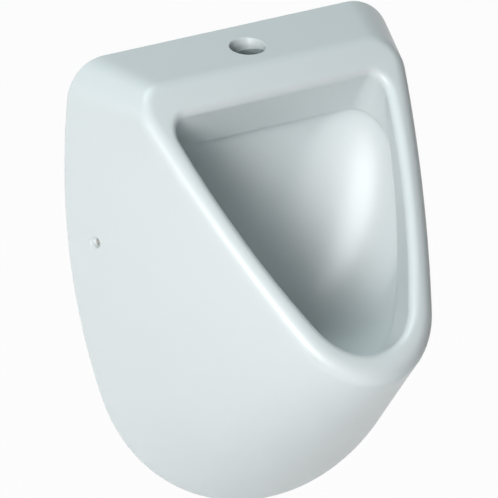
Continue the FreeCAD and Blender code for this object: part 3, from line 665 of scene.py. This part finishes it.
def china_mesh(form):
    settings = form.settings
    body = ring_mesh("china", form.shown_rings())
    floor = form.EDGE_TOP[1] + CHANNEL_FLOOR

    service = hollow_mesh(form, "service", RIM_SOLID_DEPTH, 5.0)
    below = block("under_channel", (-WIDE, -WIDE, -20), (WIDE, 20, form.EDGE_TOP[1] - 1))
    service = combined(service, [below], "INTERSECT")
    service = combined(service, [lining_mesh(form)], "DIFFERENCE")
    channel = hollow_mesh(form, "channel", RIM_SOLID_DEPTH - 6, -settings.wall)
    above = block("over_floor", (-WIDE, -WIDE, floor), (WIDE, 20, settings.height))
    channel = combined(channel, [above], "INTERSECT")
    behind = form.on_edge(3.0 - settings.bowl_wall)
    apron = ring_mesh("apron_lining", [form.lip(0, settings.bowl_wall), behind])
    channel = combined(channel, [apron], "DIFFERENCE")

    fall = (form.rim_edge([0.0])[0][0] - form.on_wall()[0])
    slope = fall[2] / fall[1]
    top = settings.height + INLET_Y * slope
    inlet = flared_hole("inlet", (0, INLET_Y, top), INLET_R, (0, 0, 1), INLET_CUT_DEPTH,
                        INLET_MOUTH_ROUND, lambda p: (p.y - INLET_Y) * slope)
    waste = revolved("waste", [(WASTE_HOLE_R, 150), (WASTE_HOLE_R, 185)], (0, form.SUMP[1], 0))
    cutters = [service, channel, inlet, waste]
    for i in range(FLUSH_HOLES):
        x = FLUSH_SPAN * (i / (FLUSH_HOLES - 1) - 0.5)
        cutters.append(revolved("flush", [(3.0, 381), (3.0, 432)], (x, FLUSH_Y, 0), segments=24))
    flank = flank_at_hole(form)
    for side in (-1, 1):
        centre = (side * flank[0], SIDE_HOLE_Y, FIXING_HEIGHT)
        cutters.append(flared_hole("side_hole", centre, SIDE_HOLE_R, (side, 0, 0), SIDE_CUT_DEPTH,
                                   SIDE_MOUTH_ROUND, lambda p: (p.y - SIDE_HOLE_Y) * flank[1]))
    return combined(body, cutters, "DIFFERENCE")


def flank_at_hole(form):
    """Half width of the flank at the side hole, and how it widens towards the wall."""
    back, edge = form.on_wall(), form.rim_edge([0.0])[0]
    share = (SIDE_HOLE_Y / edge[:, 1])[:, None]
    ring = lifted(back, edge, share)
    ring_index = np.argmin(np.where(ring[:, 0] > 0, abs(ring[:, 2] - FIXING_HEIGHT), 1e9))
    along = edge[ring_index] - back[ring_index]
    return ring[ring_index][0], along[0] / along[1]


class URINAL_OT_china(bpy.types.Operator):
    """Build the glazed body with its bowl, channel, hollow back and drilled holes"""

    bl_idname = "urinal.china"
    bl_label = "Glazed body"

    def execute(self, context):
        settings = context.scene.urinal_china
        body = china_mesh(ChinaForm(settings))
        mesh = body.data
        bpy.data.objects.remove(body)
        piece = finished("glazed_body", mesh, glaze_paint(settings), angle=28.0)
        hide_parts("ceramic_body")
        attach(piece, URINAL)
        return {"FINISHED"}


# ---------------------------------------------------------------- small parts

def softened(node, material, width, body=URINAL, segments=2):
    """A copy of a frame piece with its edges rounded by a small radius, in metres."""
    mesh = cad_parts[node].data.copy()
    work = bmesh.new()
    work.from_mesh(mesh)
    bmesh.ops.remove_doubles(work, verts=work.verts, dist=2e-6)
    bmesh.ops.dissolve_limit(work, angle_limit=math.radians(0.6), verts=work.verts, edges=work.edges)
    work.to_mesh(mesh)
    work.free()
    rough = finished(node + "_rough", mesh)
    bevel = rough.modifiers.new("bevel", "BEVEL")
    bevel.width, bevel.segments, bevel.limit_method = width, segments, "ANGLE"
    bevel.angle_limit, bevel.use_clamp_overlap = math.radians(40), True
    rounded = baked(rough)
    bpy.data.objects.remove(rough)
    piece = finished("dressed_" + node, rounded, material)
    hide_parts(node)
    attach(piece, body)


def dressed(nodes, material, width=0.0004):
    for name in nodes:
        softened(name, material, width)


def thread_tree(settings):
    """Four studs with a rolled thread, laid out on the wall fixings."""
    tree = Growth(
        "threaded_studs", Radius=0.004, Length=0.070, Tail=0.015, Pitch=settings.thread_pitch * MM,
        Depth=0.00065, Width=0.292, Rise=0.040, Rings=330, Sides=24)
    radius, length, depth = tree.given("Radius"), tree.given("Length"), tree.given("Depth")
    rod = tree.add("GeometryNodeMeshCylinder", {"fill_type": "NGON"}, {
        "Vertices": tree.given("Sides"), "Side Segments": tree.given("Rings"),
        "Radius": radius, "Depth": length})
    x, y, z = tree.position()
    turn = z / tree.given("Pitch") - y.of("ARCTAN2", x) * (0.5 / math.pi)
    groove = 1.0 - turn.of("PINGPONG", 0.5) * 2.0
    end = (length * 0.5 - z.of("ABSOLUTE")).of("DIVIDE", depth * 1.6).of("MINIMUM", 1.0)
    root = 1.0 - (depth / radius) * (1.0 - (1.0 - groove) * end)
    rod = tree.add("GeometryNodeSetPosition", values={
        "Geometry": rod, "Position": tree.vector(x * root, y * root, z)})
    rod = tree.moved(rod, (-math.pi / 2, 0.0, 0.0), tree.vector(y=length * 0.5 - tree.given("Tail")))
    corners = tree.add("GeometryNodeMeshGrid", values={
        "Size X": tree.given("Width"), "Size Y": tree.given("Rise"), "Vertices X": 2, "Vertices Y": 2})
    corners = tree.moved(corners, (math.pi / 2, 0.0, 0.0))
    return tree, tree.copies(corners, rod)


def strainer_tree(settings):
    """Cuts rings of round holes, six more in each ring, into the dome that it is given."""
    tree = Growth("perforated_dome", Hole=settings.strainer_hole * MM, Pitch=0.0066, Count=37,
                  Centre=-0.058, Level=-0.1435)
    index = tree.add("GeometryNodeInputIndex")
    ring = ((((index * 12.0 + 9.0).of("SQRT") - 3.0) / 6.0) - 0.001).of("CEIL")
    place = index - (ring * (ring - 1.0) * 3.0 + 1.0)
    angle = place / (ring * 6.0) * (2 * math.pi)
    reach = ring * tree.given("Pitch")
    spot = tree.vector(angle.of("SINE") * reach, angle.of("COSINE") * reach + tree.given("Centre"),
                       tree.given("Level"))
    points = tree.add("GeometryNodePoints", values={"Count": tree.given("Count"), "Position": spot})
    drill = tree.add("GeometryNodeMeshCylinder", {"fill_type": "NGON"}, {
        "Vertices": 28, "Side Segments": 1, "Radius": tree.given("Hole"), "Depth": 0.02})
    drills = tree.add("GeometryNodeRealizeInstances", values={"Geometry": tree.copies(points, drill)})
    cut = tree.add("GeometryNodeMeshBoolean", {"operation": "DIFFERENCE", "solver": "EXACT"}, {
        "Mesh 1": tree.given("Geometry"), "Mesh 2": drills})
    return tree, cut


def dome_mesh():
    """Shallow pressed dome with a rolled edge, over the seat in the waste flange."""
    centre, seat = ChinaForm.SUMP, ChinaForm.SUMP[2] + 3.7
    radius, thick, rise = 27.6, 1.8, 5.0
    ball = (radius ** 2 + rise ** 2) / (2 * rise)
    rings = []
    for i in range(1, 14):
        reach = radius * i / 14
        rings.append((reach, math.sqrt(ball ** 2 - reach ** 2) - ball + rise))
    inner = [(min(r, radius - 3.0), seat + lift) for r, lift in rings[:12]]
    inner += [(radius - 3.0, seat + 0.2), (radius - 2.6, seat)]
    turned_edge = [(radius - 0.7, seat), (radius, seat + 0.7),
                   (radius, seat + thick - 0.6), (radius - 0.6, seat + thick)]
    outer = [(r, seat + thick + lift) for r, lift in rings[::-1]]
    return revolved("dome", inner + turned_edge + outer, (0.0, centre[1], 0.0))


class URINAL_OT_brackets(bpy.types.Operator):
    """Build the two wall brackets and their threaded inserts"""

    bl_idname = "urinal.brackets"
    bl_label = "Wall brackets"

    def execute(self, context):
        zinc = zinc_paint()
        dressed(("wall_bracket_left", "wall_bracket_right"), zinc, 0.0006)
        dressed(("bracket_inserts",), zinc, 0.0003)
        return {"FINISHED"}


class URINAL_OT_fasteners(bpy.types.Operator):
    """Build the threaded wall studs, the washers, the nuts and the side screws with their bushes"""

    bl_idname = "urinal.fasteners"
    bl_label = "Studs and screws"

    def execute(self, context):
        steel = metal_paint("stainless_steel", (0.62, 0.61, 0.59), 0.24, 0.18, "Y")
        dressed(("stud_washers", "stud_nuts", "side_screws"), steel, 0.0003)
        dressed(("side_bushes",), moulded_paint("natural_nylon", (0.76, 0.75, 0.70)), 0.0003)
        tree, shape = thread_tree(context.scene.urinal_fittings)
        studs = tree.baked("threaded_wall_studs", shape, steel)
        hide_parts("wall_studs")
        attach(studs, URINAL)
        return {"FINISHED"}


class URINAL_OT_waste(bpy.types.Operator):
    """Build the waste flange and the backnut that clamps it"""

    bl_idname = "urinal.waste"
    bl_label = "Waste flange"

    def execute(self, context):
        chrome = metal_paint("chrome_plate", (0.78, 0.79, 0.80), 0.07, 0.06, "Z")
        dressed(("waste_flange",), chrome, 0.0003)
        grey = moulded_paint("grey_nylon", (0.24, 0.25, 0.26))
        dressed(("waste_backnut",), grey, 0.0004)
        return {"FINISHED"}


class URINAL_OT_strainer(bpy.types.Operator):
    """Build the domed strainer that lifts out of the waste"""

    bl_idname = "urinal.strainer"
    bl_label = "Strainer"

    def execute(self, context):
        steel = metal_paint("polished_steel", (0.66, 0.66, 0.65), 0.16, 0.12, "X")
        dome = dome_mesh()
        mesh = dome.data
        bpy.data.objects.remove(dome)
        tree, shape = strainer_tree(context.scene.urinal_fittings)
        strainer = tree.baked("domed_strainer", shape, steel, start=mesh)
        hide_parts("waste_strainer")
        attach(strainer, STRAINER)
        return {"FINISHED"}


class URINAL_OT_trap(bpy.types.Operator):
    """Build the bottle trap, its nuts and the outlet pipe"""

    bl_idname = "urinal.trap"
    bl_label = "Bottle trap"

    def execute(self, context):
        white = moulded_paint("white_polypropylene", (0.72, 0.73, 0.71))
        dressed(("trap_body", "trap_dip_tube", "trap_cup", "outlet_pipe"), white, 0.0005)
        grey = moulded_paint("grey_polypropylene", (0.24, 0.25, 0.26))
        dressed(("trap_union_nut", "trap_outlet_nut"), grey, 0.0004)
        return {"FINISHED"}


class URINAL_OT_seals(bpy.types.Operator):
    """Build the rubber seals and gaskets"""

    bl_idname = "urinal.seals"
    bl_label = "Seals"

    def execute(self, context):
        black = rubber_paint("black_rubber", (0.025, 0.025, 0.026))
        dressed(("waste_gasket_upper", "waste_gasket_lower", "trap_union_seal", "trap_cup_seal",
                 "trap_outlet_seal", "wall_collar"), black, 0.0003)
        dressed(("inlet_seal",), rubber_paint("grey_rubber", (0.30, 0.34, 0.34)), 0.0003)
        return {"FINISHED"}


# ---------------------------------------------------------------- stage

def aim(thing, target):
    direction = Vector(target) - thing.location
    thing.rotation_euler = direction.to_track_quat("-Z", "Y").to_euler()


def softbox(name, place, target, size, power, colour=(1, 1, 1)):
    lamp = bpy.data.lights.new(name, "AREA")
    lamp.shape, lamp.size, lamp.size_y = "RECTANGLE", size[0], size[1]
    lamp.energy, lamp.color = power, colour
    thing = bpy.data.objects.new(name, lamp)
    thing.location = place
    bpy.context.scene.collection.objects.link(thing)
    aim(thing, target)
    thing.visible_camera = False
    return thing


def camera_axes(settings):
    turn, lift = settings.azimuth, settings.elevation
    ahead = Vector((math.sin(turn) * math.cos(lift), math.cos(turn) * math.cos(lift), -math.sin(lift)))
    right = Vector((math.cos(turn), -math.sin(turn), 0.0))
    over = right.cross(ahead)
    cos, sin = math.cos(settings.roll), math.sin(settings.roll)
    return ahead, right * cos - over * sin, right * sin + over * cos


def white_where_seen(tree, lit, glow_kind, most=1.0):
    """White where the camera or a mirror looks; the lit shader for everything else."""
    nodes, links = tree.nodes, tree.links
    path = nodes.new("ShaderNodeLightPath")
    glow = nodes.new(glow_kind)
    glow.inputs["Color"].default_value = (1, 1, 1, 1)
    seen = path.outputs["Is Camera Ray"]
    for other in ("Is Glossy Ray", "Is Transmission Ray"):
        either = nodes.new("ShaderNodeMath")
        either.operation = "MAXIMUM"
        links.new(seen, either.inputs[0])
        links.new(path.outputs[other], either.inputs[1])
        seen = either.outputs[0]
    share = nodes.new("ShaderNodeMath")
    share.operation = "MULTIPLY"
    share.inputs[1].default_value = most
    links.new(seen, share.inputs[0])
    blend = nodes.new("ShaderNodeMixShader")
    links.new(share.outputs[0], blend.inputs[0])
    links.new(lit, blend.inputs[1])
    links.new(glow.outputs[0], blend.inputs[2])
    return blend.outputs[0]


def make_world():
    world = bpy.data.worlds.new("soft_room")
    world.use_nodes = True
    tree = world.node_tree
    lit = tree.nodes["Background"]
    lit.inputs["Color"].default_value = (0.80, 0.95, 0.97, 1)
    lit.inputs["Strength"].default_value = 0.0
    out = tree.nodes["World Output"]
    tree.links.new(white_where_seen(tree, lit.outputs[0], "ShaderNodeBackground"), out.inputs["Surface"])
    bpy.context.scene.world = world


class URINAL_OT_stage(bpy.types.Operator):
    """Set up the camera, the soft lamps, the white surroundings and the pale floor"""

    bl_idname = "urinal.stage"
    bl_label = "Stage"

    def execute(self, context):
        settings = context.scene.urinal_stage
        target = Vector((-0.0653, -0.130, 0.3052 - FIXING_HEIGHT * MM))
        ahead, right, over = camera_axes(settings)
        lens = bpy.data.cameras.new("camera")
        lens.lens, lens.sensor_width = settings.lens, 36.0
        lens.clip_end = 50.0
        camera = bpy.data.objects.new("camera", lens)
        context.scene.collection.objects.link(camera)
        place = target - ahead * settings.distance
        camera.matrix_world = Matrix((
            (right.x, over.x, -ahead.x, place.x), (right.y, over.y, -ahead.y, place.y),
            (right.z, over.z, -ahead.z, place.z), (0, 0, 0, 1)))
        context.scene.camera = camera

        mesh = bpy.data.meshes.new("floor")
        floor_z, reach, white_share = -1.05, 8.0, 0.97
        mesh.from_pydata([(-reach, -reach, floor_z), (reach, -reach, floor_z), (reach, reach, floor_z),
                          (-reach, reach, floor_z)], [], [(0, 1, 2, 3)])
        floor = bpy.data.objects.new("floor", mesh)
        context.scene.collection.objects.link(floor)
        paint = Paint("pale_floor", Roughness=0.9)
        colour = tuple(settings.backdrop)
        paint.feed(Base_Color=paint.mix(paint.noise(2.0), tinted(colour, 0.99), colour))
        seen = white_where_seen(paint.tree, paint.shader.outputs[0], "ShaderNodeEmission", white_share)
        paint.tree.links.new(seen, paint.output.inputs["Surface"])
        mesh.materials.append(paint.material)

        middle = (0, -0.12, -0.05)
        lamps = [
            softbox("key", (-2.44, -2.56, 0.56), middle, (1.5, 1.5), 114),
            softbox("over", (-0.52, -0.12, 2.90), middle, (1.4, 1.4), 42, (0.84, 1.0, 1.02)),
            softbox("low", (-0.60, -1.78, -0.99), middle, (1.4, 1.4), 3, (0.80, 1.0, 1.02)),
        ]
        make_world()
        context.scene.view_settings.view_transform = "Standard"
        return {"FINISHED"}


# ---------------------------------------------------------------- panel and registration

STEPS = (URINAL_OT_china, URINAL_OT_brackets, URINAL_OT_fasteners, URINAL_OT_waste,
         URINAL_OT_strainer, URINAL_OT_trap, URINAL_OT_seals, URINAL_OT_stage)


class URINAL_PT_panel(bpy.types.Panel):
    """Sidebar panel that lists the pieces"""

    bl_label = "Wall hung urinal"
    bl_idname = "URINAL_PT_panel"
    bl_space_type = "VIEW_3D"
    bl_region_type = "UI"
    bl_category = "Urinal"

    def draw(self, context):
        for step in STEPS:
            self.layout.operator(step.bl_idname)


SETTINGS = (("urinal_china", ChinaSettings), ("urinal_fittings", FittingSettings),
            ("urinal_stage", StageSettings))


def register():
    for name, group in SETTINGS:
        bpy.utils.register_class(group)
        setattr(bpy.types.Scene, name, bpy.props.PointerProperty(type=group))
    for kind in (*STEPS, URINAL_PT_panel):
        bpy.utils.register_class(kind)


def unregister():
    for kind in (URINAL_PT_panel, *reversed(STEPS)):
        bpy.utils.unregister_class(kind)
    for name, group in reversed(SETTINGS):
        delattr(bpy.types.Scene, name)
        bpy.utils.unregister_class(group)


def main():
    register()
    for step in STEPS:
        group, name = step.bl_idname.split(".")
        getattr(getattr(bpy.ops, group), name)()


if __name__ == "__main__":
    main()
